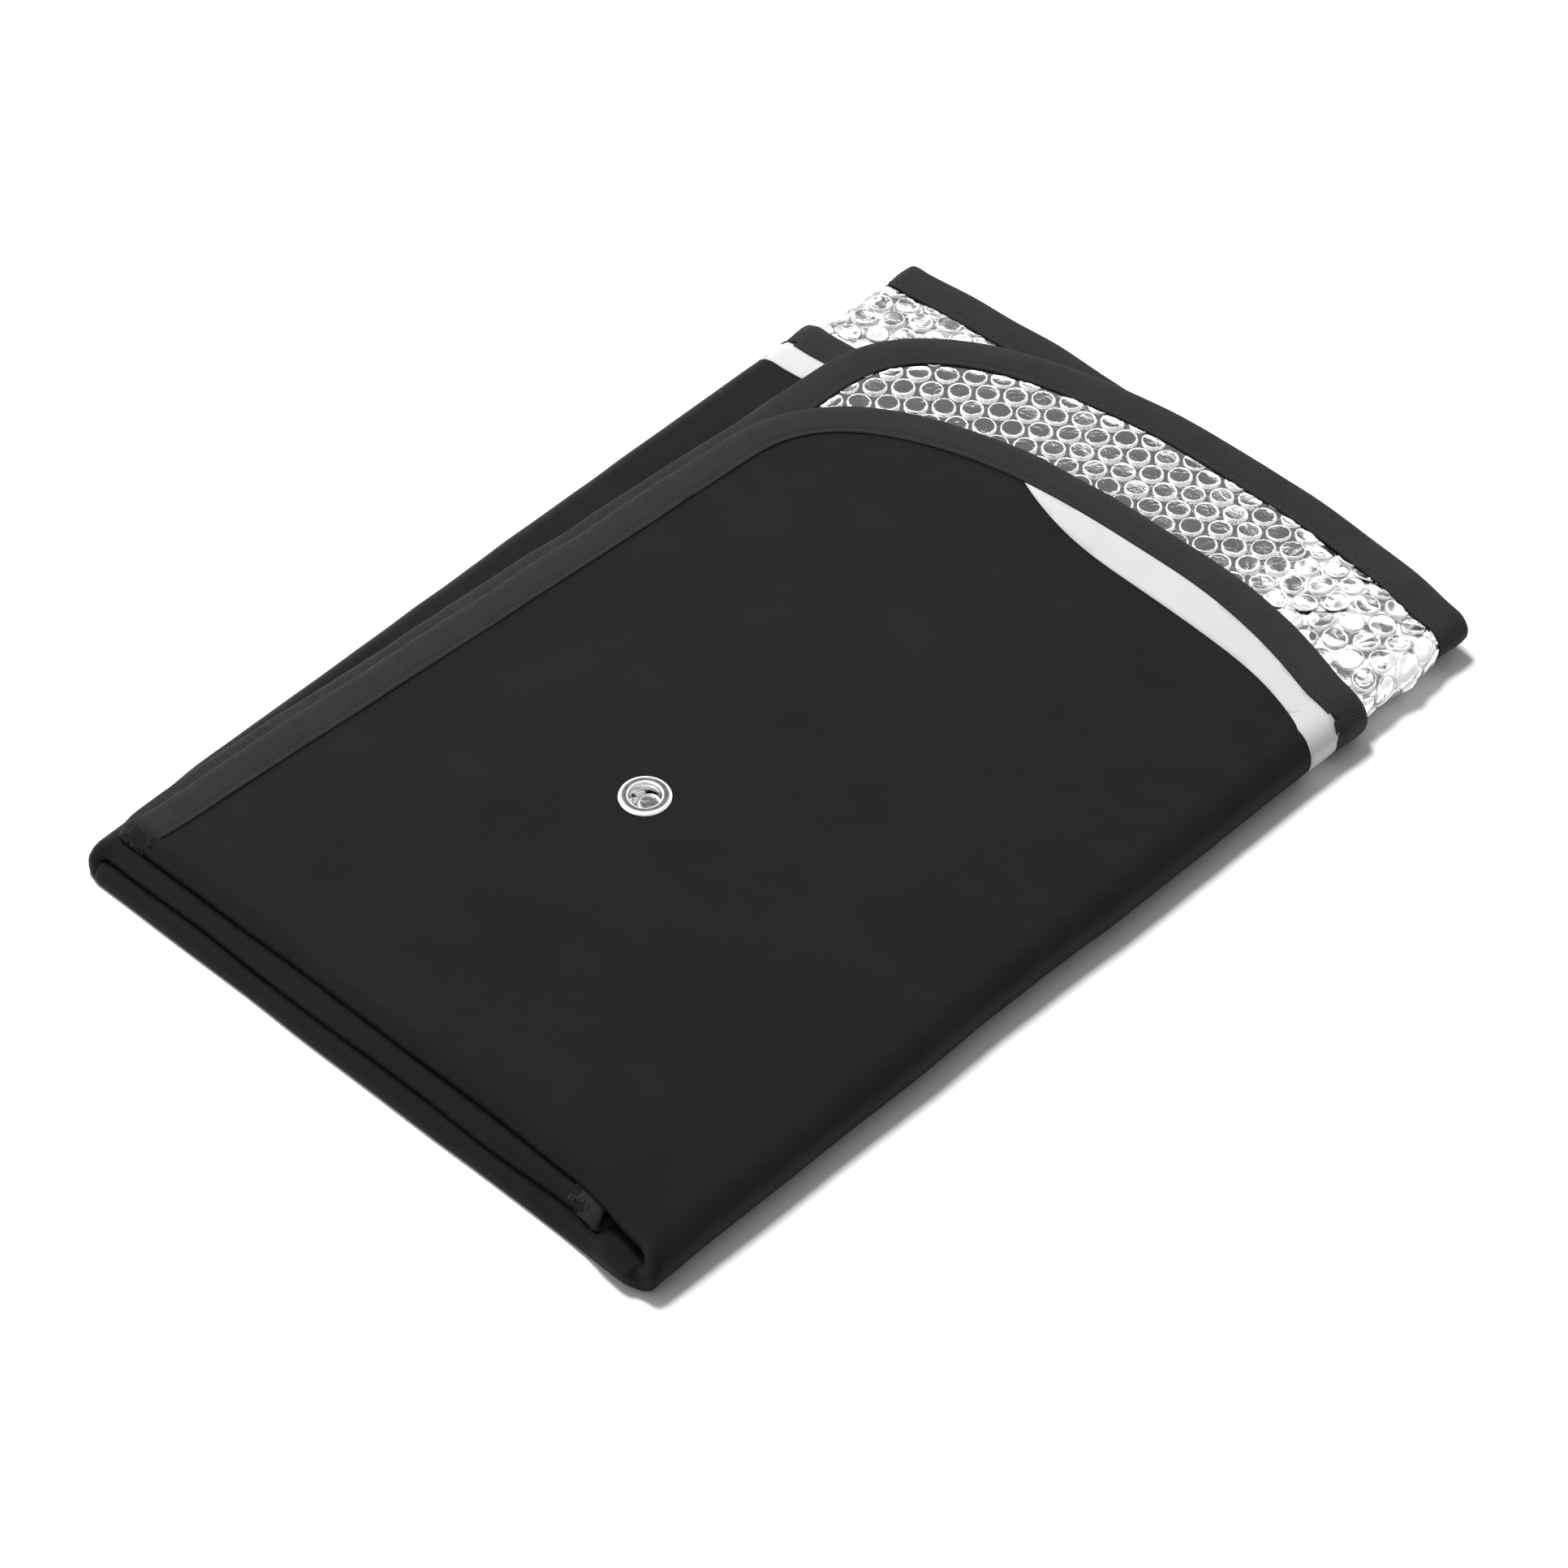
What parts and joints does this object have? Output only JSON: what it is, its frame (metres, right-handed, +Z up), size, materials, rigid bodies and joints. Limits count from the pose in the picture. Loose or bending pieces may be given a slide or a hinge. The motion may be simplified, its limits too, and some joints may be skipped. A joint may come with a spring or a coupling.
{
  "type": "folded insulating mat",
  "caption": "Foil-lined insulating mat, folded in half and then in three; the top flap opens about its side fold.",
  "frame": {"origin": "centre of the folded packet's footprint, on the floor", "axes": "+Y from the centre fold towards the open ends, +X towards the fold that the top flap opens about, +Z up through the six layers"},
  "size_m": [0.294, 0.443, 0.0213],
  "materials": {
    "outer_fabric": "smooth black coated woven polyester, satin",
    "bubble_film": "metallised bubble film, glossy and creased",
    "edge_binding": "black ribbed woven tape, matt",
    "reflective_strip": "light grey reflective tape, satin",
    "eyelet": "polished nickel"
  },
  "bodies": {
    "base": {"base_centre_fold_fabric": "outer_fabric", "base_centre_fold_film": "bubble_film", "base_inner_binding": "edge_binding", "base_inner_fabric": "outer_fabric", "base_inner_film": "bubble_film", "base_outer_binding": "edge_binding", "base_outer_fabric": "outer_fabric", "base_outer_film": "bubble_film", "base_reflective_strip": "reflective_strip", "left_flap_centre_fold_binding": "edge_binding", "left_flap_centre_fold_fabric": "outer_fabric", "left_flap_centre_fold_film": "bubble_film", "left_flap_inner_binding": "edge_binding", "left_flap_inner_fabric": "outer_fabric", "left_flap_inner_film": "bubble_film", "left_flap_outer_binding": "edge_binding", "left_flap_outer_fabric": "outer_fabric", "left_flap_outer_film": "bubble_film", "left_flap_reflective_strip": "reflective_strip", "left_fold_inner_binding": "edge_binding", "left_fold_inner_fabric": "outer_fabric", "left_fold_inner_film": "bubble_film", "left_fold_outer_binding": "edge_binding", "left_fold_outer_fabric": "outer_fabric", "left_fold_outer_film": "bubble_film", "left_fold_reflective_strip": "reflective_strip", "right_fold_lower_inner_binding": "edge_binding", "right_fold_lower_inner_fabric": "outer_fabric", "right_fold_lower_inner_film": "bubble_film", "right_fold_lower_outer_binding": "edge_binding", "right_fold_lower_outer_fabric": "outer_fabric", "right_fold_lower_outer_film": "bubble_film", "right_fold_lower_reflective_strip": "reflective_strip"},
    "right_flap": {"eyelet_grommet": "eyelet", "eyelet_washer": "eyelet", "right_flap_centre_fold_binding": "edge_binding", "right_flap_centre_fold_fabric": "outer_fabric", "right_flap_centre_fold_film": "bubble_film", "right_flap_inner_binding": "edge_binding", "right_flap_inner_fabric": "outer_fabric", "right_flap_inner_film": "bubble_film", "right_flap_outer_binding": "edge_binding", "right_flap_outer_fabric": "outer_fabric", "right_flap_outer_film": "bubble_film", "right_flap_reflective_strip": "reflective_strip", "right_fold_upper_inner_binding": "edge_binding", "right_fold_upper_inner_fabric": "outer_fabric", "right_fold_upper_inner_film": "bubble_film", "right_fold_upper_outer_binding": "edge_binding", "right_fold_upper_outer_fabric": "outer_fabric", "right_fold_upper_outer_film": "bubble_film", "right_fold_upper_reflective_strip": "reflective_strip"}
  },
  "joints": [
    {"name": "right_flap_fold", "type": "hinge", "parent": "base", "child": "right_flap", "pos_m": [0.14715, 0, 0.01035], "axis": [0, 1, 0], "range_deg": [0, 180]}
  ]
}
